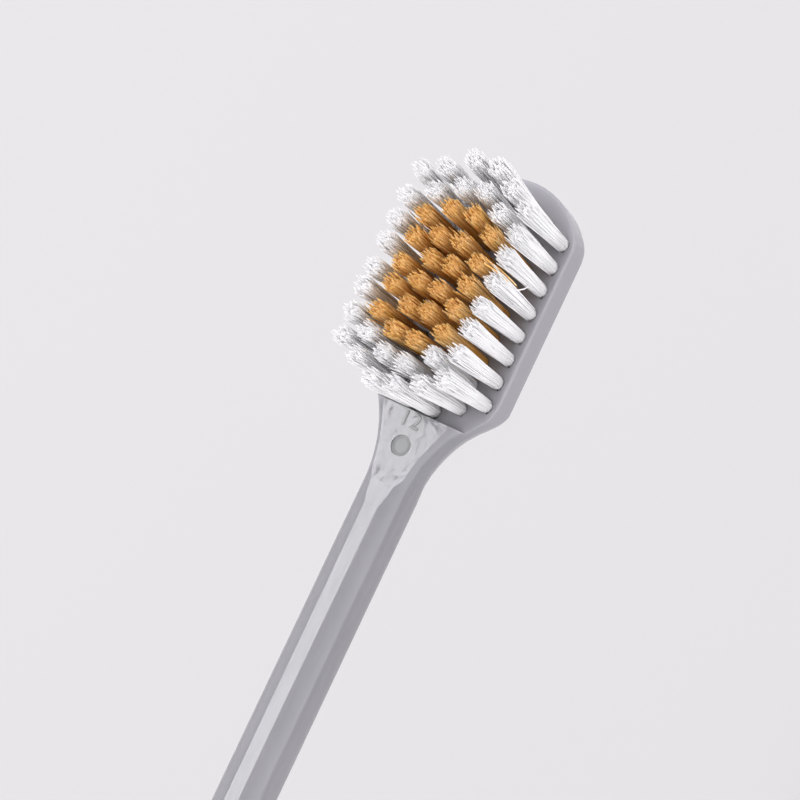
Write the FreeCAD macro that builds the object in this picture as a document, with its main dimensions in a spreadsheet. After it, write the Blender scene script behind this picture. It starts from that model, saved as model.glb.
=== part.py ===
import FreeCAD, Part
import os
from math import pi
import Sketcher
from FreeCAD import Vector

# A manual toothbrush with a wide head: one grey moulding, and 54 tufts that are folded
# round small flat metal anchors and pressed into blind holes in the face of the head.
# The brush lies on its flat back. X runs along it with the head towards +X, Z is the
# way the tufts point, and the origin is the middle of the space that it fills, at its foot.

doc = FreeCAD.newDocument("toothbrush")

# Driving sizes in millimetres, angles in degrees.
driving_sizes = {
    # the whole brush
    "total_length": 180,
    # head
    "head_width": 15.3,
    "head_thickness": 4.2,
    "head_back_round": 1.0,
    "head_face_round": 0.3,
    "tip_land": 1.8,           # from the last hole's rim to the tip
    "edge_land": 0.65,         # from the outer holes' rims to the sides
    "shoulder_reach": 0.1,     # the sides turn in this far past the first outer tuft
    # neck
    "flare_angle": 44,
    "neck_back_round": 3.3,
    "neck_flat_drop": 0.35,    # from the shaft's facet down to the neck's flat
    "neck_lip_drop": 0.1,      # to the lip where the ramp down to the flat turns steeper
    "neck_ramp_reach": 23,     # from the middle of the tufts back to the start of the ramp
    "neck_lip_reach": 20.6,
    "neck_flat_reach": 19.4,
    "neck_face_reach": 12.6,   # and back to the step from the flat down to the face
    "mark_diameter": 2.3,      # round ejector mark
    "mark_depth": 0.15,
    "mark_reach": 16.4,        # from the middle of the tufts back to the mark
    # shaft, the plain stretch behind the neck
    "shaft_width": 5.55,
    "shaft_thickness": 5.65,
    "shaft_round": 2.05,
    "shaft_length": 37,
    # grip
    "grip_width": 11.2,
    "grip_thickness": 7.2,
    "grip_round": 2.7,
    "butt_width": 7.4,
    "butt_thickness": 5.6,
    "butt_round": 2.0,
    # holes
    "row_pitch": 2.6,
    "hole_diameter": 1.5,
    "floor_wall": 1.2,         # plastic left under each hole
    # tufts
    "bristle_height": 11.7,    # above the face
    "tuft_clearance": 0.05,
    "crown_gap": 0.3,          # from a tuft's crown to halfway to the next in its column
    "point_length": 1.6,       # the stretch where the filaments' ends taper away
    "point_width": 1.1,
    "fold_thickness": 0.45,    # filaments that pass under the anchor
    "cut_overrun": 2,          # how far a cut runs past what it cuts
    # anchors
    "anchor_height": 1.1,
    "anchor_thickness": 0.25,
    "anchor_bite": 0.12,       # how far each end cuts into the wall of its hole
    "anchor_angle": 35,
}

sheet = doc.addObject("Spreadsheet::Sheet", "sizes")
for line, (name, value) in enumerate(driving_sizes.items(), start=1):
    sheet.set(f"A{line}", name)
    sheet.set(f"B{line}", str(value))
    sheet.setAlias(f"B{line}", name)
doc.recompute()


def read(text):
    """The value that an expression on the sheet has now."""
    return float(sheet.evalExpression(text))


def blend(start, end, share):
    return f"({start} + ({end} - {start}) * {share})"


# The tufts in each column, and how many pitches its end tufts stand from its middle.
outer_rows, middle_rows, inner_rows = 8, 9, 10
outer_half_count = (outer_rows - 1) / 2
middle_half_count = (middle_rows - 1) / 2
inner_half_count = (inner_rows - 1) / 2
# Rows lie half a pitch apart and count from the neck: those with outer tufts, and the golden ones.
first_outer, last_outer = 2, 16
first_golden, last_golden = 4, 14

# Places along the brush. The middle is that of the field of tufts.
tip = "(sizes.total_length / 2)"
middle = f"({tip} - {inner_half_count} * sizes.row_pitch - sizes.hole_diameter / 2 - sizes.tip_land)"
shoulder_end = f"({middle} - {outer_half_count} * sizes.row_pitch + sizes.shoulder_reach)"
butt = f"(-{tip})"

# The flare of the neck in plan: an arc that turns out from the shaft, then a smaller one
# that turns back into the side of the head. The first takes this share of the rise.
neck_arc_share = 0.8
turn = "(1 - cos(sizes.flare_angle))"
rise = "(sizes.head_width / 2 - sizes.shaft_width / 2)"
neck_radius = f"({neck_arc_share} * {rise} / {turn})"
shoulder_radius = f"((1 - {neck_arc_share}) * {rise} / {turn})"
neck_start = f"({shoulder_end} - ({neck_radius} + {shoulder_radius}) * sin(sizes.flare_angle))"
shaft_end = f"({neck_start} - sizes.shaft_length)"

# The end of the head in plan, as shares of the head's width.
end_radius_share = 0.56
corner_radius_share = 0.25

# The grip's places, as shares of the way from the shaft to the butt, and its growth near the butt.
grip_lead_share = 0.01
widest_share = 0.7
late_growth_share = 0.9
grip_steps = 5
straight_angle = 180

# The neck's loft starts this share of the shaft's length before the neck.
lead_share = 0.01
# A round never takes up more than this share of the wall that it turns.
wall_share = 0.48
butt_wall_share = 0.3
# A section's thickness is shared between the rounds of its face and of its back.
face_wall_share = 0.38
back_wall_share = 0.58

# The face, the holes and what stands in them. The six columns lie evenly across the head.
face = "sizes.head_thickness"
middle_column_share = 3 / 5
inner_column_share = 1 / 5
outer_column = "(sizes.head_width / 2 - sizes.edge_land - sizes.hole_diameter / 2)"
middle_column = f"({outer_column} * {middle_column_share})"
inner_column = f"({outer_column} * {inner_column_share})"
anchor_foot = "(sizes.floor_wall + sizes.fold_thickness)"
anchor_length = "(sizes.hole_diameter + 2 * sizes.anchor_bite)"
flat_height = "(sizes.shaft_thickness - sizes.neck_flat_drop)"


def plane(body, role):
    return next(item for item in body.Origin.OriginFeatures if item.Role == role)


def new_sketch(body, name, role, offset=None, turn_about=None):
    """A sketch on one of the body's own planes, moved by expressions."""
    sketch = body.newObject("Sketcher::SketchObject", name)
    sketch.AttachmentSupport = [(plane(body, role), "")]
    sketch.MapMode = "FlatFace"
    for axis, text in (offset or {}).items():
        sketch.setExpression(f".AttachmentOffset.Base.{axis}", text)
    if turn_about:
        sketch.setExpression(".AttachmentOffset.Rotation.Angle", turn_about)
    return sketch


def bind(sketch, name, constraint, text):
    """Add a dimension to a sketch and tie it to the sheet."""
    number = sketch.addConstraint(constraint)
    sketch.renameConstraint(number, name)
    sketch.setExpression(f"Constraints.{name}", text)


right_angle = pi / 2


def line(x1, y1, x2, y2):
    return Part.LineSegment(Vector(x1, y1, 0), Vector(x2, y2, 0))


def arc(x, y, radius, start, end):
    return Part.ArcOfCircle(Part.Circle(Vector(x, y, 0), Vector(0, 0, 1), radius), start, end)


def section(body, name, station, width, thickness, face_round, back_round):
    """A rounded section of the handle, standing on the plane that the brush rests on."""
    face_round = f"min({face_round}; {face_wall_share} * {thickness}; {wall_share} * {width})"
    back_round = f"min({back_round}; {back_wall_share} * {thickness}; {wall_share} * {width})"
    sketch = new_sketch(body, name, "YZ_Plane", {"z": station})
    half = read(width) / 2
    tall = read(thickness)
    top = read(face_round)
    low = read(back_round)
    sketch.addGeometry([
        line(low - half, 0, half - low, 0),
        arc(half - low, low, low, -right_angle, 0),
        line(half, low, half, tall - top),
        arc(half - top, tall - top, top, 0, right_angle),
        line(half - top, tall, top - half, tall),
        arc(top - half, tall - top, top, right_angle, 2 * right_angle),
        line(-half, tall - top, -half, low),
        arc(low - half, low, low, 2 * right_angle, 3 * right_angle),
    ], False)
    # each line ends where the next arc starts, or the other way round
    joins = [(0, 2, 1, 1), (1, 2, 2, 1), (2, 2, 3, 1), (3, 2, 4, 1),
             (4, 2, 5, 1), (5, 2, 6, 1), (6, 2, 7, 1), (7, 2, 0, 1)]
    for join in joins:
        sketch.addConstraint(Sketcher.Constraint("Tangent", *join))
    sketch.addConstraint(Sketcher.Constraint("Symmetric", 0, 1, 0, 2, -1, 1))
    sketch.addConstraint(Sketcher.Constraint("PointOnObject", 0, 1, -1))
    sketch.addConstraint(Sketcher.Constraint("Horizontal", 4))
    sketch.addConstraint(Sketcher.Constraint("Vertical", 2))
    sketch.addConstraint(Sketcher.Constraint("Vertical", 6))
    sketch.addConstraint(Sketcher.Constraint("Equal", 1, 7))
    sketch.addConstraint(Sketcher.Constraint("Equal", 3, 5))
    bind(sketch, "half_width", Sketcher.Constraint("DistanceX", -1, 1, 2, 1, half), f"{width} / 2")
    bind(sketch, "thickness", Sketcher.Constraint("DistanceY", -1, 1, 4, 1, tall), thickness)
    bind(sketch, "back_round", Sketcher.Constraint("Radius", 1, low), back_round)
    bind(sketch, "face_round", Sketcher.Constraint("Radius", 3, top), face_round)
    return sketch


def head_outline(body):
    """The head in plan: straight sides, a blunt round end, and a straight edge at the neck."""
    sketch = new_sketch(body, "head_outline", "XY_Plane")
    half = read("sizes.head_width / 2")
    back = read(shoulder_end)
    end_text = f"{end_radius_share} * sizes.head_width"
    corner_text = f"{corner_radius_share} * sizes.head_width"
    end_radius = read(end_text)
    corner_radius = read(corner_text)
    end_centre = read(tip) - end_radius
    rise_to_corner = half - corner_radius
    reach = end_radius - corner_radius
    corner_centre = end_centre + (reach ** 2 - rise_to_corner ** 2) ** 0.5
    lean = Vector(corner_centre - end_centre, rise_to_corner, 0)
    angle = Vector(1, 0, 0).getAngle(lean)
    sketch.addGeometry([
        line(back, half, back, -half),
        line(back, -half, corner_centre, -half),
        arc(corner_centre, -rise_to_corner, corner_radius, -right_angle, -angle),
        arc(end_centre, 0, end_radius, -angle, angle),
        arc(corner_centre, rise_to_corner, corner_radius, angle, right_angle),
        line(corner_centre, half, back, half),
    ], False)
    for join in [(1, 2, 2, 1), (2, 2, 3, 1), (3, 2, 4, 1), (4, 2, 5, 1)]:
        sketch.addConstraint(Sketcher.Constraint("Tangent", *join))
    sketch.addConstraint(Sketcher.Constraint("Coincident", 5, 2, 0, 1))
    sketch.addConstraint(Sketcher.Constraint("Coincident", 0, 2, 1, 1))
    sketch.addConstraint(Sketcher.Constraint("Horizontal", 1))
    sketch.addConstraint(Sketcher.Constraint("Horizontal", 5))
    sketch.addConstraint(Sketcher.Constraint("Symmetric", 0, 1, 0, 2, -1))
    sketch.addConstraint(Sketcher.Constraint("PointOnObject", 3, 3, -1))
    sketch.addConstraint(Sketcher.Constraint("Equal", 2, 4))
    bind(sketch, "half_width", Sketcher.Constraint("DistanceY", -1, 1, 0, 1, half),
         "sizes.head_width / 2")
    bind(sketch, "neck_edge", Sketcher.Constraint("DistanceX", -1, 1, 0, 1, back), shoulder_end)
    bind(sketch, "end_radius", Sketcher.Constraint("Radius", 3, end_radius), end_text)
    bind(sketch, "corner_radius", Sketcher.Constraint("Radius", 2, corner_radius), corner_text)
    bind(sketch, "end_centre", Sketcher.Constraint("DistanceX", -1, 1, 3, 3, end_centre),
         f"{tip} - {end_text}")
    return sketch


# Places closer than this count as one when edges are picked.
near = 1e-4


def edges_of(shape, wanted):
    edges = enumerate(shape.Edges, start=1)
    return [f"Edge{number}" for number, edge in edges if wanted(edge.BoundBox)]


def shaft_section(body, station):
    return section(body, "shaft_section", station, "sizes.shaft_width", "sizes.shaft_thickness",
                   "sizes.shaft_round", "sizes.shaft_round")


def grip_section(body, place_share, growth_share):
    """A section of the grip, grown by a share of the way from the shaft's size to the full size."""
    rounding = blend("sizes.shaft_round", "sizes.grip_round", growth_share)
    return section(body, "grip_section", blend(shaft_end, butt, place_share),
                   blend("sizes.shaft_width", "sizes.grip_width", growth_share),
                   blend("sizes.shaft_thickness", "sizes.grip_thickness", growth_share),
                   rounding, rounding)


def make_moulding():
    """Handle, neck and head, moulded in one."""
    body = doc.addObject("PartDesign::Body", "handle")

    # the head, with its back edge and its face edge rounded
    head = body.newObject("PartDesign::Pad", "head")
    head.Profile = head_outline(body)
    head.setExpression("Length", "sizes.head_thickness")
    doc.recompute()
    past_neck = read(shoulder_end) + near
    back_edges = edges_of(head.Shape, lambda box: box.ZMax < near and box.XMax > past_neck)
    back = body.newObject("PartDesign::Fillet", "head_back_round")
    back.Base = (head, back_edges)
    back.setExpression("Radius", f"min(sizes.head_back_round; {wall_share} * sizes.head_thickness)")
    doc.recompute()
    level = read(face) - near
    face_edges = edges_of(back.Shape, lambda box: box.ZMin > level and box.XMax > past_neck)
    front = body.newObject("PartDesign::Fillet", "head_face_round")
    front.Base = (back, face_edges)
    front.setExpression("Radius", f"min(sizes.head_face_round; {wall_share} * sizes.head_thickness)")

    # the neck: sections along its two arcs, which swing from the shaft to the head
    neck_arc_steps, shoulder_arc_steps = 5, 3
    stations = []
    for step in range(neck_arc_steps + 1):
        turned = step / neck_arc_steps
        angle = f"({turned} * sizes.flare_angle)"
        # the back grows rounder as soon as the neck starts
        stations.append((f"({neck_start} + {neck_radius} * sin({angle}))",
                         f"(sizes.shaft_width + 2 * {neck_radius} * (1 - cos({angle})))",
                         neck_arc_share * turned, "sizes.shaft_round",
                         blend("sizes.shaft_round", "sizes.neck_back_round", turned ** 0.5)))
    for step in range(1, shoulder_arc_steps + 1):
        turned = step / shoulder_arc_steps
        angle = f"({1 - turned} * sizes.flare_angle)"
        stations.append((f"({shoulder_end} - {shoulder_radius} * sin({angle}))",
                         f"(sizes.head_width - 2 * {shoulder_radius} * (1 - cos({angle})))",
                         neck_arc_share + (1 - neck_arc_share) * turned,
                         blend("sizes.shaft_round", "sizes.head_face_round", turned),
                         blend("sizes.neck_back_round", "sizes.head_back_round", turned)))
    # the loft starts just inside the shaft, so that it leaves it without a kink
    lead = f"({neck_start} - {lead_share} * sizes.shaft_length)"
    sections = [shaft_section(body, lead)]
    for station, width, share, face_round, back_round in stations:
        # the neck thins late, near the head
        thickness = blend("sizes.shaft_thickness", "sizes.head_thickness", share ** 4)
        sections.append(section(body, "neck_section", station, width, thickness, face_round, back_round))
    neck = body.newObject("PartDesign::AdditiveLoft", "neck")
    neck.Profile = sections[-1]
    neck.Sections = [(item, [""]) for item in reversed(sections[:-1])]

    # the shaft keeps one section from the neck to the grip
    shaft = body.newObject("PartDesign::Pad", "shaft")
    shaft.Profile = shaft_section(body, lead)
    shaft.Reversed = True
    shaft.setExpression("Length", f"{lead} - {shaft_end}")

    # the grip swells out of the shaft and back in towards the butt
    grip_sections = [shaft_section(body, shaft_end)]
    for step in range(grip_steps + 1):
        place_share = grip_lead_share + (widest_share - grip_lead_share) * step / grip_steps
        growth_share = f"(1 - cos({step / grip_steps} * {straight_angle})) / 2"
        grip_sections.append(grip_section(body, place_share, growth_share))
    grip_sections.append(grip_section(body, (widest_share + 1) / 2, late_growth_share))
    grip_sections.append(section(body, "butt_section", butt, "sizes.butt_width", "sizes.butt_thickness",
                                 "sizes.butt_round", "sizes.butt_round"))
    grip = body.newObject("PartDesign::AdditiveLoft", "grip")
    grip.Profile = grip_sections[0]
    grip.Sections = [(item, [""]) for item in grip_sections[1:]]
    doc.recompute()

    # the butt end, rounded over
    end = read(butt)
    butt_edges = edges_of(grip.Shape, lambda box: box.XMax < end + near)
    rounded = body.newObject("PartDesign::Fillet", "butt_round")
    rounded.Base = (grip, butt_edges)
    rounded.setExpression("Radius", f"min(sizes.butt_round; {butt_wall_share} * sizes.butt_thickness)")
    doc.recompute()
    cut_neck_flat(body)
    cut_mark(body)
    cut_holes(body)
    return body


def cut_neck_flat(body):
    """The flat on the neck: a ramp down from the shaft's facet, and a step down to the face."""
    sketch = new_sketch(body, "neck_flat", "XZ_Plane")
    ramp = f"({middle} - sizes.neck_ramp_reach)"
    lip = f"({middle} - sizes.neck_lip_reach)"
    flat = f"({middle} - sizes.neck_flat_reach)"
    step = f"({middle} - sizes.neck_face_reach)"
    top = "(sizes.shaft_thickness + sizes.cut_overrun)"
    polygon(sketch, [(ramp, top), (ramp, "sizes.shaft_thickness"),
                     (lip, "(sizes.shaft_thickness - sizes.neck_lip_drop)"), (flat, flat_height),
                     (step, flat_height), (step, face), (shoulder_end, face), (shoulder_end, top)])
    pocket = body.newObject("PartDesign::Pocket", "neck_flat_cut")
    pocket.Profile = sketch
    pocket.Type = "ThroughAll"
    pocket.Midplane = True
    return pocket


def cut_mark(body):
    """The round mark that an ejector pin leaves on the neck's flat."""
    sketch = new_sketch(body, "mark", "XY_Plane",
                        {"x": f"{middle} - sizes.mark_reach", "z": f"{flat_height} - sizes.mark_depth"})
    circle(sketch, "sizes.mark_diameter / 2")
    return cut_upwards(body, "mark_cut", sketch)


def cut_holes(body):
    """A blind hole for each tuft, with the two slots that its anchor cuts on the way in."""
    columns = [("outer", outer_column, outer_half_count, outer_rows),
               ("middle", middle_column, middle_half_count, middle_rows),
               ("inner", inner_column, inner_half_count, inner_rows)]
    for name, column, half_count, rows in columns:
        place = {"x": f"{middle} - {half_count} * sizes.row_pitch", "y": f"-{column}"}
        bore = new_sketch(body, f"{name}_hole", "XY_Plane", {**place, "z": "sizes.floor_wall"})
        circle(bore, "sizes.hole_diameter / 2")
        hole = cut_upwards(body, f"{name}_hole_cut", bore)
        bite = new_sketch(body, f"{name}_slot", "XY_Plane", {**place, "z": anchor_foot},
                          "sizes.anchor_angle")
        rectangle(bite, anchor_length, "sizes.anchor_thickness")
        slot = cut_upwards(body, f"{name}_slot_cut", bite)
        along = body.newObject("PartDesign::MultiTransform", f"{name}_holes")
        along.Originals = [hole, slot]
        row = pattern(body, f"{name}_row", "X_Axis", "sizes.row_pitch", rows)
        along.Transformations = [row, mirror(body, f"{name}_mirror")]
        body.Tip = along
        doc.recompute()


def cut_upwards(body, name, sketch):
    pocket = body.newObject("PartDesign::Pocket", name)
    pocket.Profile = sketch
    pocket.Type = "ThroughAll"
    pocket.Reversed = True
    return pocket


def pattern(body, name, axis, spacing, count):
    row = body.newObject("PartDesign::LinearPattern", name)
    row.Direction = (plane(body, axis), [""])
    row.Mode = "Spacing"
    row.setExpression("Offset", spacing)
    row.Occurrences = count
    return row


def mirror(body, name):
    """A mirror image on the other side of the brush."""
    image = body.newObject("PartDesign::Mirrored", name)
    image.MirrorPlane = (plane(body, "XZ_Plane"), [""])
    return image


def circle(sketch, radius):
    sketch.addGeometry(Part.Circle(Vector(0, 0, 0), Vector(0, 0, 1), read(radius)), False)
    sketch.addConstraint(Sketcher.Constraint("Coincident", 0, 3, -1, 1))
    bind(sketch, "radius", Sketcher.Constraint("Radius", 0, read(radius)), radius)


def rectangle(sketch, length, width):
    """A rectangle about the sketch's origin."""
    x, y = read(length) / 2, read(width) / 2
    sides = [line(-x, -y, x, -y), line(x, -y, x, y), line(x, y, -x, y), line(-x, y, -x, -y)]
    sketch.addGeometry(sides, False)
    for first, second in ((0, 1), (1, 2), (2, 3), (3, 0)):
        sketch.addConstraint(Sketcher.Constraint("Coincident", first, 2, second, 1))
    for side in (0, 2):
        sketch.addConstraint(Sketcher.Constraint("Horizontal", side))
    for side in (1, 3):
        sketch.addConstraint(Sketcher.Constraint("Vertical", side))
    sketch.addConstraint(Sketcher.Constraint("Symmetric", 0, 1, 2, 1, -1, 1))
    bind(sketch, "length", Sketcher.Constraint("DistanceX", 0, 1, 0, 2, 2 * x), length)
    bind(sketch, "width", Sketcher.Constraint("DistanceY", 1, 1, 1, 2, 2 * y), width)


def polygon(sketch, corners):
    """A closed outline whose corners are pairs of expressions."""
    points = [(read(x), read(y)) for x, y in corners]
    count = len(points)
    sketch.addGeometry([line(*points[i], *points[(i + 1) % count]) for i in range(count)], False)
    for i in range(count):
        sketch.addConstraint(Sketcher.Constraint("Coincident", i, 2, (i + 1) % count, 1))
    for i, (x, y) in enumerate(corners):
        if x == "0":
            sketch.addConstraint(Sketcher.Constraint("PointOnObject", i, 1, -2))
        else:
            bind(sketch, f"x{i}_place", Sketcher.Constraint("DistanceX", -1, 1, i, 1, points[i][0]), x)
        bind(sketch, f"y{i}_place", Sketcher.Constraint("DistanceY", -1, 1, i, 1, points[i][1]), y)


def repeat(body, name, features, columns):
    """Copies at the two or four columns of a row, from the piece that stands in the outermost one."""
    copies = body.newObject("PartDesign::MultiTransform", name)
    copies.Originals = features
    steps = []
    if len(columns) > 1:
        spacing = f"{columns[0]} - {columns[1]}"
        steps.append(pattern(body, f"{name}_across", "Y_Axis", spacing, len(columns)))
    steps.append(mirror(body, f"{name}_mirror"))
    copies.Transformations = steps
    body.Tip = copies
    return copies


def make_tufts(label, station, columns):
    """The tufts of one row: bundles that fan out from their holes, folded under their anchors."""
    body = doc.addObject("PartDesign::Body", label)
    sketch = new_sketch(body, "bundle", "XZ_Plane", {"x": station, "z": columns[0]})
    mouth = "(sizes.hole_diameter / 2 - sizes.tuft_clearance)"
    crown = "(sizes.row_pitch / 2 - sizes.crown_gap)"
    crown_height = f"({face} + sizes.bristle_height - sizes.point_length)"
    fan = f"(({crown} - {mouth}) / (sizes.bristle_height - sizes.point_length))"
    root = f"({mouth} - {fan} * ({face} - sizes.floor_wall))"
    end = f"({face} + sizes.bristle_height)"
    polygon(sketch, [("0", "sizes.floor_wall"), (root, "sizes.floor_wall"), (crown, crown_height),
                     ("sizes.point_width / 2", end), ("0", end)])
    bundle = body.newObject("PartDesign::Revolution", "bundle_turn")
    bundle.Profile = sketch
    bundle.ReferenceAxis = (sketch, ["V_Axis"])
    place = {"x": station, "y": f"-{columns[0]}", "z": anchor_foot}
    window = new_sketch(body, "fold", "XY_Plane", place, "sizes.anchor_angle")
    rectangle(window, anchor_length, "sizes.anchor_thickness")
    fold = body.newObject("PartDesign::Pocket", "fold_cut")
    fold.Profile = window
    fold.Reversed = True
    fold.setExpression("Length", "sizes.anchor_height")
    repeat(body, "tufts", [bundle, fold], columns)
    return body


def make_anchors(label, station, columns):
    """The small flat anchors that hold the tufts of one row in their holes."""
    body = doc.addObject("PartDesign::Body", label)
    place = {"x": station, "y": f"-{columns[0]}", "z": anchor_foot}
    sketch = new_sketch(body, "plate", "XY_Plane", place, "sizes.anchor_angle")
    rectangle(sketch, anchor_length, "sizes.anchor_thickness")
    plate = body.newObject("PartDesign::Pad", "plate_pad")
    plate.Profile = sketch
    plate.setExpression("Length", "sizes.anchor_height")
    repeat(body, "anchors", [plate], columns)
    return body


def make_rows():
    """Nineteen half-pitch rows across the head, the golden tufts in the middle of the white ones."""
    pieces = []
    row_count = 2 * inner_rows - 1
    for row in range(row_count):
        station = f"({middle} + {row / 2 - inner_half_count} * sizes.row_pitch)"
        with_outer = first_outer <= row <= last_outer
        if row % 2:
            columns = [middle_column]
        elif with_outer:
            columns = [outer_column, inner_column]
        else:
            columns = [inner_column]
        golden = first_golden <= row <= last_golden
        number = f"row_{row + 1:02d}"
        if golden:
            pieces.append(make_tufts(f"gold_tufts_{number}", station, columns[-1:]))
            white = columns[:-1]
        else:
            white = columns
        if white:
            pieces.append(make_tufts(f"white_tufts_{number}", station, white))
        pieces.append(make_anchors(f"anchors_{number}", station, columns))
    return pieces


nodes = [make_moulding()] + make_rows()
doc.recompute()

for item in doc.Objects:
    if "Invalid" in item.State or "Error" in item.State:
        raise RuntimeError(f"{item.Name} failed: {item.State}")
for node in nodes:
    if node.Shape.isNull() or not node.Shape.isValid():
        raise RuntimeError(f"{node.Label} has no valid shape")

os.makedirs("parts", exist_ok=True)
for node in nodes:
    node.Shape.exportStep(f"parts/{node.Label}.step")
print(len(nodes), "nodes,", sum(len(node.Shape.Solids) for node in nodes), "solids")
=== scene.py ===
import math
import random

import bmesh
import bpy
from mathutils import Euler, Matrix, Vector


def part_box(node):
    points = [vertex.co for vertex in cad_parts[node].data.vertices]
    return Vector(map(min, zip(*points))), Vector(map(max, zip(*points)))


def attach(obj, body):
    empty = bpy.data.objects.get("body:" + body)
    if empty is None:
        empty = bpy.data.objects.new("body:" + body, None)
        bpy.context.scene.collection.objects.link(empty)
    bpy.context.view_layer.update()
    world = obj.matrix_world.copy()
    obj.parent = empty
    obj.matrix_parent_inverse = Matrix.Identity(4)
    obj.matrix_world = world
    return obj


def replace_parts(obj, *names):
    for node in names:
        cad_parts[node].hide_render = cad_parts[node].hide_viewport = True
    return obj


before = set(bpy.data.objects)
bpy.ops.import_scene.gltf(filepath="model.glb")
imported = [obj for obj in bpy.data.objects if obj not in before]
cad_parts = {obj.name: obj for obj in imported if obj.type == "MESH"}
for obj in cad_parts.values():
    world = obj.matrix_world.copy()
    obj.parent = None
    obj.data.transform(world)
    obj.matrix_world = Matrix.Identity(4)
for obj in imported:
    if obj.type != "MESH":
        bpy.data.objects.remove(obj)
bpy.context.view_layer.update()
mm = 0.001
# the middle row of anchors stands in the middle of the field of tufts
rowLow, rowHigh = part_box("anchors_row_10")
middle = (rowLow.x + rowHigh.x) / 2
noiseRange = (0.3, 0.7)     # most values of a noise lie between these
print("loaded", len(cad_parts), "nodes")


def startMaterial(name):
    material = bpy.data.materials.new(name)
    material.use_nodes = True
    nodes = material.node_tree.nodes
    return material, nodes, material.node_tree.links, nodes["Principled BSDF"]


def objectCoordinates(nodes, links, scale=(1, 1, 1)):
    coordinates = nodes.new("ShaderNodeTexCoord")
    mapping = nodes.new("ShaderNodeMapping")
    mapping.inputs["Scale"].default_value = scale
    links.new(coordinates.outputs["Object"], mapping.inputs["Vector"])
    return mapping.outputs["Vector"]


def splitVector(nodes, links, vector):
    split = nodes.new("ShaderNodeSeparateXYZ")
    links.new(vector, split.inputs["Vector"])
    return split.outputs


def noiseOn(nodes, links, vector, scale, detail=2.0):
    noise = nodes.new("ShaderNodeTexNoise")
    noise.inputs["Scale"].default_value = scale
    noise.inputs["Detail"].default_value = detail
    links.new(vector, noise.inputs["Vector"])
    return noise.outputs["Fac"]


def spread(nodes, links, value, low, high, fromLow=0.0, fromHigh=1.0):
    ranger = nodes.new("ShaderNodeMapRange")
    ranger.inputs["From Min"].default_value = fromLow
    ranger.inputs["From Max"].default_value = fromHigh
    ranger.inputs["To Min"].default_value = low
    ranger.inputs["To Max"].default_value = high
    links.new(value, ranger.inputs["Value"])
    return ranger.outputs["Result"]


def calculate(nodes, links, operation, first, second):
    calculation = nodes.new("ShaderNodeMath")
    calculation.operation = operation
    for socket, value in zip(calculation.inputs, (first, second)):
        if isinstance(value, (int, float)):
            socket.default_value = value
        else:
            links.new(value, socket)
    return calculation.outputs[0]


def calculateVector(nodes, links, operation, first, second=(0, 0, 0)):
    calculation = nodes.new("ShaderNodeVectorMath")
    calculation.operation = operation
    links.new(first, calculation.inputs[0])
    calculation.inputs[1].default_value = second
    return calculation.outputs["Value" if operation == "LENGTH" else "Vector"]


def mixColours(nodes, links, factor, first, second):
    mix = nodes.new("ShaderNodeMix")
    mix.data_type = "RGBA"
    links.new(factor, mix.inputs[0])
    # the node has sockets for numbers, vectors and colours, and these are the colours'
    for socket, colour in ((mix.inputs[6], first), (mix.inputs[7], second)):
        if isinstance(colour, tuple):
            socket.default_value = (*colour, 1)
        else:
            links.new(colour, socket)
    return mix.outputs[2]


def bumpFrom(nodes, links, height, distance, strength=1.0, under=None):
    bump = nodes.new("ShaderNodeBump")
    bump.inputs["Distance"].default_value = distance
    if isinstance(strength, (int, float)):
        bump.inputs["Strength"].default_value = strength
    else:
        links.new(strength, bump.inputs["Strength"])
    links.new(height, bump.inputs["Height"])
    if under is not None:
        links.new(under, bump.inputs["Normal"])
    return bump.outputs["Normal"]


def addGlow(shader, values):
    shader.inputs["Subsurface Weight"].default_value = values["glow"]
    shader.inputs["Subsurface Radius"].default_value = values["glowTint"]
    shader.inputs["Subsurface Scale"].default_value = values["glowReach"]


# the moulding: satin grey plastic, wavy on the neck's flat, dull in the ejector mark and on the face
handlePlastic = {
    "colour": (0.225, 0.225, 0.242),
    "paleColour": (0.262, 0.26, 0.276),
    "cloudScale": 130,
    # painted light: the head is paler, standing in for light that the white ends of the tufts send through it
    # onto its face and side wall
    "paintedLightHeadColour": (0.305, 0.3, 0.324),     # the white ends of the tufts shine through the head
    "paintedLightHeadShare": 0.85,
    "headFrom": middle - 14 * mm,
    "headBlend": 5 * mm,
    "gloss": (0.11, 0.19),
    "glossScale": 2600,
    "glossStretch": (0.12, 1, 1),          # drawn out along the handle
    "refraction": 1.59,
    "glow": 0.75,
    "glowReach": 3.0 * mm,
    "glowTint": (1.0, 0.97, 1.05),
    "wavyFrom": middle - 21.5 * mm,
    "wavyTo": middle - 12.5 * mm,
    "wavyBlend": 1.5 * mm,
    "wavyElsewhere": 0.05,
    "waveScale": 620,
    "waveHeight": 0.085 * mm,
    "grainScale": 5200,
    "grainHeight": 0.003 * mm,
    "grainStrength": 0.4,
    "markPlace": (middle - 16.4 * mm, 0, 0),
    "markRadius": 1.1 * mm,
    "markEdge": 1.04,                      # how many radii out the mark has ended
    "markFrom": 4.6 * mm,                  # the mark's floor lies above this height, the face below it
    "markColour": (0.25, 0.255, 0.262),
    "markRoughness": 0.35,
    "markDish": 0.08 * mm,
    "markDishFrom": 0.65,                  # as a share of the mark's radius
    "faceFrom": middle - 12.6 * mm,
    "faceHeight": 4.2 * mm,
    "faceSlack": 0.02 * mm,
    "edgeBlend": 0.1 * mm,                 # over this the finish changes at an edge
    "faceRoughness": 0.5,                  # the face between the tufts is duller than the polished neck
}


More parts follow.
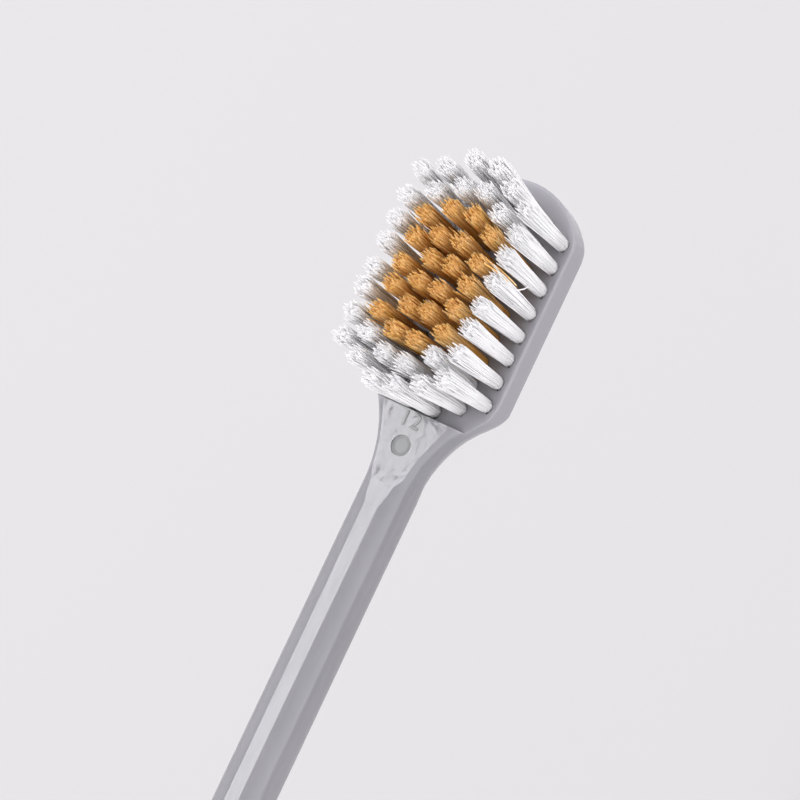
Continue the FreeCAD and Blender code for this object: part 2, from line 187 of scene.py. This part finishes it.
def makeHandlePlastic(values):
    material, nodes, links, shader = startMaterial("greyPlastic")
    here = objectCoordinates(nodes, links)
    split = splitVector(nodes, links, here)

    # one inside the mark, nothing outside it
    away = calculateVector(nodes, links, "SUBTRACT", here, values["markPlace"])
    flat = calculateVector(nodes, links, "MULTIPLY", away, (1, 1, 0))
    distance = calculateVector(nodes, links, "LENGTH", flat)
    radius = values["markRadius"]
    near = spread(nodes, links, distance, 1.0, 0.0, radius, radius * values["markEdge"])
    edgeBlend = values["edgeBlend"]
    above = spread(nodes, links, split["Z"], 0.0, 1.0, values["markFrom"], values["markFrom"] + edgeBlend)
    inMark = calculate(nodes, links, "MULTIPLY", near, above)

    # faint clouds, a paler head that is painted light, and the mark's own colour
    clouds = noiseOn(nodes, links, here, values["cloudScale"])
    plain = mixColours(nodes, links, clouds, values["colour"], values["paleColour"])
    paintedLightInHead = spread(nodes, links, split["X"], 0.0, values["paintedLightHeadShare"],
                    values["headFrom"], values["headFrom"] + values["headBlend"])
    plain = mixColours(nodes, links, paintedLightInHead, plain, values["paintedLightHeadColour"])
    links.new(mixColours(nodes, links, inMark, plain, values["markColour"]), shader.inputs["Base Color"])

    # rubbed gloss, but dull in the mark and on the face
    along = objectCoordinates(nodes, links, values["glossStretch"])
    rub = noiseOn(nodes, links, along, values["glossScale"])
    gloss = spread(nodes, links, rub, *values["gloss"], *noiseRange)
    dullness = spread(nodes, links, inMark, 0.0, values["markRoughness"])
    started = spread(nodes, links, split["X"], 0.0, values["faceRoughness"],
                     values["faceFrom"], values["faceFrom"] + edgeBlend)
    level = spread(nodes, links, split["Z"], 0.0, 1.0,
                   values["faceHeight"] - edgeBlend, values["faceHeight"] - values["faceSlack"])
    onFace = calculate(nodes, links, "MULTIPLY", started, level)
    dullness = calculate(nodes, links, "MAXIMUM", dullness, onFace)
    links.new(calculate(nodes, links, "MAXIMUM", gloss, dullness), shader.inputs["Roughness"])

    # waves of a sink on the neck's flat, faint ones elsewhere
    least = values["wavyElsewhere"]
    rising = spread(nodes, links, split["X"], least, 1.0,
                    values["wavyFrom"], values["wavyFrom"] + values["wavyBlend"])
    falling = spread(nodes, links, split["X"], 1.0, least,
                     values["wavyTo"], values["wavyTo"] + values["wavyBlend"])
    wavy = calculate(nodes, links, "MINIMUM", rising, falling)
    waves = noiseOn(nodes, links, here, values["waveScale"], 2.5)
    swell = bumpFrom(nodes, links, waves, values["waveHeight"], wavy)
    rim = spread(nodes, links, distance, 0.0, 1.0, radius * values["markDishFrom"], radius)
    swell = bumpFrom(nodes, links, rim, values["markDish"], inMark, swell)
    grain = noiseOn(nodes, links, here, values["grainScale"], 3.0)
    swell = bumpFrom(nodes, links, grain, values["grainHeight"], values["grainStrength"], swell)
    links.new(swell, shader.inputs["Normal"])
    shader.inputs["IOR"].default_value = values["refraction"]
    addGlow(shader, values)
    return material


# what the white and the golden filaments share
filamentFinish = {
    # painted shade and light: each filament runs from a darker, more saturated colour low in the bundle,
    # where shade falls, to a lighter one at its lit tip
    "litTipFrom": 0.35,           # from this share of its height a filament turns to its tip's colour
    "streakScale": 5200,
    "streakStretch": (1, 1, 0.07),
    "streakHeight": 0.02 * mm,
    "streakStrength": 0.5,
    "roughnessSpread": 0.08,
    "glowTint": (1.0, 1.0, 1.0),
}
whiteFilament = {
    **filamentFinish,
    "colour": (0.965, 0.955, 0.975),
    "litTipColour": (0.975, 0.972, 0.985),
    "tints": (0.985, 1.0),
    "saturations": (1.2, 0.8),
    "streakDepth": 0.01,
    "roughness": 0.45,
    "glow": 0.9,
    "glowReach": 0.06 * mm,
}
goldFilament = {
    **filamentFinish,
    "colour": (0.82, 0.385, 0.028),
    # the gold's deep orange foot is painted shade among the tufts, its pale tip painted light
    "litTipColour": (0.95, 0.62, 0.24),
    "tints": (0.86, 1.02),
    "saturations": (1.08, 0.88),
    "streakDepth": 0.15,
    "roughness": 0.33,
    "glow": 0.25,
    "glowReach": 0.12 * mm,
}


def makeFilamentPlastic(name, values):
    material, nodes, links, shader = startMaterial(name)
    # across the map lies the tint of each filament, up it the height
    own = nodes.new("ShaderNodeUVMap")
    own.uv_map = "filament"
    split = splitVector(nodes, links, own.outputs["UV"])
    # painted shade low down and painted light at the tips, by height up the filament
    height = spread(nodes, links, split["Y"], 0.0, 1.0, values["litTipFrom"], 1.0)
    body = mixColours(nodes, links, height, values["colour"], values["litTipColour"])
    tint = nodes.new("ShaderNodeHueSaturation")
    links.new(body, tint.inputs["Color"])
    links.new(spread(nodes, links, split["X"], *values["tints"]), tint.inputs["Value"])
    links.new(spread(nodes, links, split["X"], *values["saturations"]), tint.inputs["Saturation"])

    # streaks along the filaments, also on the smooth cores
    upright = objectCoordinates(nodes, links, values["streakStretch"])
    streaks = noiseOn(nodes, links, upright, values["streakScale"])
    darker = nodes.new("ShaderNodeHueSaturation")
    links.new(tint.outputs["Color"], darker.inputs["Color"])
    depth = values["streakDepth"]
    links.new(spread(nodes, links, streaks, 1 - depth, 1 + depth, *noiseRange), darker.inputs["Value"])
    links.new(darker.outputs["Color"], shader.inputs["Base Color"])
    rough, change = values["roughness"], values["roughnessSpread"]
    links.new(spread(nodes, links, streaks, rough - change, rough + change), shader.inputs["Roughness"])
    links.new(bumpFrom(nodes, links, streaks, values["streakHeight"], values["streakStrength"]),
              shader.inputs["Normal"])
    addGlow(shader, values)
    return material


# the anchors sit under the folded tufts and never show
anchorStrip = {
    "colour": (0.70, 0.53, 0.27),
    "darkColour": (0.55, 0.40, 0.20),
    "rollScale": 9000,
    "rollStretch": (1, 1, 0.1),
    "rollHeight": 0.003 * mm,
    "roughness": (0.28, 0.42),
}


def makeAnchorBrass(values):
    material, nodes, links, shader = startMaterial("rolledBrass")
    lines = objectCoordinates(nodes, links, values["rollStretch"])
    rolled = noiseOn(nodes, links, lines, values["rollScale"])
    brass = mixColours(nodes, links, rolled, values["darkColour"], values["colour"])
    links.new(brass, shader.inputs["Base Color"])
    links.new(spread(nodes, links, rolled, *values["roughness"]), shader.inputs["Roughness"])
    links.new(bumpFrom(nodes, links, rolled, values["rollHeight"]), shader.inputs["Normal"])
    shader.inputs["Metallic"].default_value = 1.0
    return material


greyPlastic = makeHandlePlastic(handlePlastic)
rolledBrass = makeAnchorBrass(anchorStrip)
nylons = {
    "white": makeFilamentPlastic("whiteNylon", whiteFilament),
    "gold": makeFilamentPlastic("goldNylon", goldFilament),
}

for nodeName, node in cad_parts.items():
    node.data.materials.clear()
    node.data.materials.append(rolledBrass if nodeName.startswith("anchors") else greyPlastic)
print("materials made")


def addPiece(mesh, material):
    mesh.materials.append(material)
    piece = bpy.data.objects.new(mesh.name, mesh)
    bpy.context.scene.collection.objects.link(piece)
    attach(piece, "root")
    return piece


# the tufts: bundles of filaments round a smooth core that fills the gaps between them
tufts = {
    "filamentsEach": 130,
    "filamentRadius": 0.08 * mm,
    "filamentSides": 5,
    "coreRadius": 0.78 * mm,
    "coreSides": 14,
    "coreTint": 0.45,
    "columns": (6.25 * mm, 3.75 * mm, 1.25 * mm),
    "columnReach": 0.3 * mm,   # a tuft stands in a column if its solid has a corner this near to it
    "face": 4.2 * mm,
    "sunkBy": 0.9 * mm,        # how far the filaments are followed down into their holes
    "length": 11.7 * mm,
    "mouthRadius": 0.66 * mm,
    "crownRadius": {"white": 1.0 * mm, "gold": 0.95 * mm},
    "turnEach": 2.39996,       # the golden angle, which spreads the filaments evenly
    "flareBy": 0.04 * mm,      # the outer filaments bow inwards by this and flare at the tips
    "bowScatter": 0.03 * mm,
    "domeDrop": 0.05 * mm,
    "unevenBy": 1.4 * mm,
    "leanBy": 0.14 * mm,
    "sidewaysLean": 0.6,       # as a share of the lean along the brush
    "tipScatter": 0.09 * mm,
    "strayShare": 0.06,
    "strayScatter": 0.28 * mm,
    "seed": 11,
}
# height and thickness of each ring of a filament and of a core, as shares
filamentRings = ((0.0, 1.0), (0.45, 1.0), (0.8, 0.97), (0.92, 0.82), (0.98, 0.5), (1.0, 0.15))
coreRings = ((0.0, 0.77), (0.3, 0.78), (0.5, 0.84), (0.75, 0.95), (0.85, 0.95), (0.9, 0.75), (0.93, 0.45))


def makeRod(name, sides, rings):
    bm = bmesh.new()
    uvLayer = bm.loops.layers.uv.new("filament")
    lastHeight, lastThickness = rings[0]
    bmesh.ops.create_circle(bm, cap_ends=True, segments=sides, radius=lastThickness)
    rim = bm.edges[:]
    for height, thickness in rings[1:]:
        grown = bmesh.ops.extrude_edge_only(bm, edges=rim)["geom"]
        fresh = [item for item in grown if isinstance(item, bmesh.types.BMVert)]
        rim = [item for item in grown if isinstance(item, bmesh.types.BMEdge)]
        bmesh.ops.translate(bm, verts=fresh, vec=(0, 0, height - lastHeight))
        bmesh.ops.scale(bm, verts=fresh, vec=(thickness / lastThickness, thickness / lastThickness, 1))
        lastHeight, lastThickness = height, thickness
    bmesh.ops.contextual_create(bm, geom=rim)
    bmesh.ops.recalc_face_normals(bm, faces=bm.faces[:])
    for face in bm.faces:
        face.smooth = True
        for loop in face.loops:
            loop[uvLayer].uv = (0.5, loop.vert.co.z)
    mesh = bpy.data.meshes.new(name)
    bm.to_mesh(mesh)
    bm.free()
    return mesh


def planTuft(values, chance, colour, x, y):
    # each rod is its kind, foot, tip, bow and tint
    leanBy, bowScatter = values["leanBy"], values["bowScatter"]
    lean = Vector((chance.gauss(0, leanBy), chance.gauss(0, leanBy * values["sidewaysLean"]), 0))
    turn = chance.uniform(0, math.tau)
    count = values["filamentsEach"]
    low = Vector((x, y, values["face"] - values["sunkBy"]))
    top = Vector((x, y, values["face"])) + lean
    rods = [("core", low, top + Vector((0, 0, values["length"])), Vector(), values["coreTint"])]
    for number in range(count):
        share = math.sqrt((number + 0.5) / count)
        angle = turn + number * values["turnEach"]
        outwards = Vector((math.cos(angle), math.sin(angle), 0)) * share
        scatter = values["strayScatter"] if chance.random() < values["strayShare"] else values["tipScatter"]
        reach = values["length"] - values["domeDrop"] * share ** 2 - values["unevenBy"] * chance.random() ** 2
        tip = top + outwards * values["crownRadius"][colour]
        tip += Vector((chance.gauss(0, scatter), chance.gauss(0, scatter), reach))
        bow = Vector((chance.gauss(0, bowScatter), chance.gauss(0, bowScatter), 0))
        bow -= outwards * values["flareBy"]
        rods.append(("filament", low + outwards * values["mouthRadius"], tip, bow, chance.random()))
    return rods


def makeBundle(nodeName, material, values, templates, rods):
    bm = bmesh.new()
    for kind, *_ in rods:
        bm.from_mesh(templates[kind])
    bm.verts.ensure_lookup_table()
    bm.faces.ensure_lookup_table()
    uvLayer = bm.loops.layers.uv["filament"]
    vertCount = faceCount = 0
    for kind, foot, tip, bow, tint in rods:
        template = templates[kind]
        for vert in bm.verts[vertCount:vertCount + len(template.vertices)]:
            share = vert.co.z      # the rod bows most half way up
            centre = foot.lerp(tip, share) + bow * (share * (1 - share) * 4)
            vert.co = centre + Vector((vert.co.x, vert.co.y, 0)) * values[kind + "Radius"]
        for face in bm.faces[faceCount:faceCount + len(template.polygons)]:
            for loop in face.loops:
                loop[uvLayer].uv.x = tint
        vertCount += len(template.vertices)
        faceCount += len(template.polygons)
    mesh = bpy.data.meshes.new(nodeName.replace("tufts", "filaments"))
    bm.to_mesh(mesh)
    bm.free()
    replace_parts(addPiece(mesh, material), nodeName)


# filaments bent out of their tufts: foot, tip and bow in mm from the middle of the field, and a tint
strayFilaments = {
    "gold_tufts_row_12": (
        ((3.1, -4.5, 15.3), (2.2, -7.4, 12.3), (0.1, -0.15, 0.45), 1.0),
        ((2.6, -4.7, 15.5), (2.0, -7.1, 13.7), (0.1, -0.1, 0.35), 1.0),
    ),
    "white_tufts_row_13": (
        ((3.01, -5.0, 15.0), (1.79, -7.25, 12.0), (0.0, -0.1, 0.3), 0.9),
        ((3.25, -6.9, 8.6), (1.83, -7.25, 12.0), (-0.1, -0.2, 0.1), 0.9),
    ),
}


def planStrays(nodeName, values):
    origin = Vector((middle, 0, 0))
    return [("filament", origin + Vector(foot) * mm, origin + Vector(tip) * mm, Vector(bow) * mm, tint)
            for foot, tip, bow, tint in values.get(nodeName, ())]


def makeTufts(nodeName, colour, values, templates, chance):
    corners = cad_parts[nodeName].data.vertices
    low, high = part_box(nodeName)
    rods = []
    for column in values["columns"]:
        if any(abs(vert.co.y - column) < values["columnReach"] for vert in corners):
            for side in (-1, 1):
                rods += planTuft(values, chance, colour, (low.x + high.x) / 2, side * column)
    rods += planStrays(nodeName, strayFilaments)
    makeBundle(nodeName, nylons[colour], values, templates, rods)
    return len(rods)


chance = random.Random(tufts["seed"])
templates = {
    "filament": makeRod("filament", tufts["filamentSides"], filamentRings),
    "core": makeRod("core", tufts["coreSides"], coreRings),
}
rodCount = 0
for nodeName in sorted(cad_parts):
    colour = nodeName.split("_")[0]
    if colour in nylons:
        rodCount += makeTufts(nodeName, colour, tufts, templates, chance)
print("tufts made,", rodCount, "filaments and cores")


# the plain mould number that stands up from the neck's flat
mouldNumber = {
    "words": "12",
    "height": 1.6 * mm,
    "place": (middle - 13.55 * mm, 0, 5.3 * mm),
    "standsBy": 0.08 * mm,
    "strokeRound": 0.03,       # as a share of the letters' own size
    "strokeSteps": 2,
    "spacing": 1.2,
}


def makeMouldNumber(values, material):
    curve = bpy.data.curves.new("mouldNumber", "FONT")
    curve.body = values["words"]
    curve.align_x = "CENTER"
    curve.space_character = values["spacing"]
    curve.bevel_depth = values["strokeRound"]
    curve.bevel_resolution = values["strokeSteps"]
    curve.offset = -values["strokeRound"] / 2
    words = bpy.data.objects.new("mouldNumberCurve", curve)
    bpy.context.scene.collection.objects.link(words)
    bpy.context.view_layer.update()
    mesh = bpy.data.meshes.new_from_object(words.evaluated_get(bpy.context.evaluated_depsgraph_get()))
    bpy.data.objects.remove(words)
    mesh.name = "mouldNumber"
    xs = [vert.co.x for vert in mesh.vertices]
    ys = [vert.co.y for vert in mesh.vertices]
    scale = values["height"] / (max(ys) - min(ys))
    toMiddle = Matrix.Translation((-(min(xs) + max(xs)) / 2, -(min(ys) + max(ys)) / 2, 0))
    toSize = Matrix.Diagonal((scale, scale, values["standsBy"] / values["strokeRound"], 1))
    # it reads towards -Y with its top towards the head
    turned = Matrix.Rotation(-math.pi / 2, 4, "Z")
    mesh.transform(Matrix.Translation(values["place"]) @ turned @ toSize @ toMiddle)
    addPiece(mesh, material)


makeMouldNumber(mouldNumber, greyPlastic)
print("mould number made")


# room, light and camera
studio = {
    "floorDrop": 90 * mm,
    "floorSize": 30.0,
    "floorColour": (0.553, 0.546, 0.552),
    "floorRoughness": 0.9,
    "worldColour": (0.70, 0.69, 0.705),
    "horizonLight": 1.5,
    "middleLight": 0.6,        # added half way up
    "zenithLight": 1.12,
    "sideLight": 1.7,          # added low down on the -Y side
    "keyPlace": (0.08, 0.222, 0.453),
    "keyAim": (0.08, 0, 0),
    "keySize": (0.64, 0.075),
    "keyPower": 0.93,
}


def makeFloor(values):
    bm = bmesh.new()
    bmesh.ops.create_grid(bm, x_segments=1, y_segments=1, size=values["floorSize"] / 2)
    bmesh.ops.translate(bm, verts=bm.verts[:], vec=(0, 0, -values["floorDrop"]))
    mesh = bpy.data.meshes.new("floor")
    bm.to_mesh(mesh)
    bm.free()
    material, nodes, links, shader = startMaterial("floorPaper")
    shader.inputs["Base Color"].default_value = (*values["floorColour"], 1)
    shader.inputs["Roughness"].default_value = values["floorRoughness"]
    shader.inputs["Specular IOR Level"].default_value = 0.0
    mesh.materials.append(material)
    floor = bpy.data.objects.new("floor", mesh)
    bpy.context.scene.collection.objects.link(floor)


def makeWorld(values):
    world = bpy.data.worlds.new("studio")
    world.use_nodes = True
    nodes, links = world.node_tree.nodes, world.node_tree.links
    background = nodes["Background"]
    background.inputs["Color"].default_value = (*values["worldColour"], 1)
    # a bright ring of walls that darkens towards the zenith, plain where the camera sees it
    direction = nodes.new("ShaderNodeTexCoord")
    split = splitVector(nodes, links, direction.outputs["Generated"])
    rising = spread(nodes, links, split["Z"], values["horizonLight"], values["zenithLight"])
    low = spread(nodes, links, split["Z"], 1.0, 0.0)
    sideways = spread(nodes, links, split["Y"], values["sideLight"], 0.0, -1.0, 0.0)
    # a quarter half way up, nothing at the horizon and the zenith
    halfway = calculate(nodes, links, "MULTIPLY", low, calculate(nodes, links, "SUBTRACT", 1.0, low))
    light = calculate(nodes, links, "ADD", rising, calculate(nodes, links, "MULTIPLY", low, sideways))
    light = calculate(nodes, links, "ADD", light,
                      calculate(nodes, links, "MULTIPLY", halfway, 4 * values["middleLight"]))
    path = nodes.new("ShaderNodeLightPath")
    seen = calculate(nodes, links, "MULTIPLY", path.outputs["Is Camera Ray"],
                     calculate(nodes, links, "SUBTRACT", 1.0, light))
    links.new(calculate(nodes, links, "ADD", light, seen), background.inputs["Strength"])
    bpy.context.scene.world = world


def addKeyLamp(values):
    data = bpy.data.lights.new("keyLamp", "AREA")
    data.shape = "RECTANGLE"
    data.size, data.size_y = values["keySize"]
    data.energy = values["keyPower"]
    lamp = bpy.data.objects.new("keyLamp", data)
    lamp.location = values["keyPlace"]
    towards = Vector(values["keyPlace"]) - Vector(values["keyAim"])
    lamp.rotation_euler = towards.to_track_quat("Z", "Y").to_euler()
    lamp.visible_camera = False
    bpy.context.scene.collection.objects.link(lamp)


photoCamera = {
    "place": (-19.444 * mm, -71.950 * mm, 152.566 * mm),    # from the middle of the field of tufts
    "turn": (14.3829, 22.9435, -62.2509),
    "lens": 72.0,
    "sensor": 36.0,
    "nearest": 5 * mm,
}


def makeCamera(values):
    data = bpy.data.cameras.new("camera")
    data.lens = values["lens"]
    data.sensor_width = values["sensor"]
    data.clip_start = values["nearest"]
    camera = bpy.data.objects.new("camera", data)
    camera.location = Vector((middle, 0, 0)) + Vector(values["place"])
    camera.rotation_euler = Euler([math.radians(angle) for angle in values["turn"]])
    bpy.context.scene.collection.objects.link(camera)
    bpy.context.scene.camera = camera


makeFloor(studio)
makeWorld(studio)
addKeyLamp(studio)
makeCamera(photoCamera)
bpy.context.scene.view_settings.view_transform = "Standard"
print("studio made")
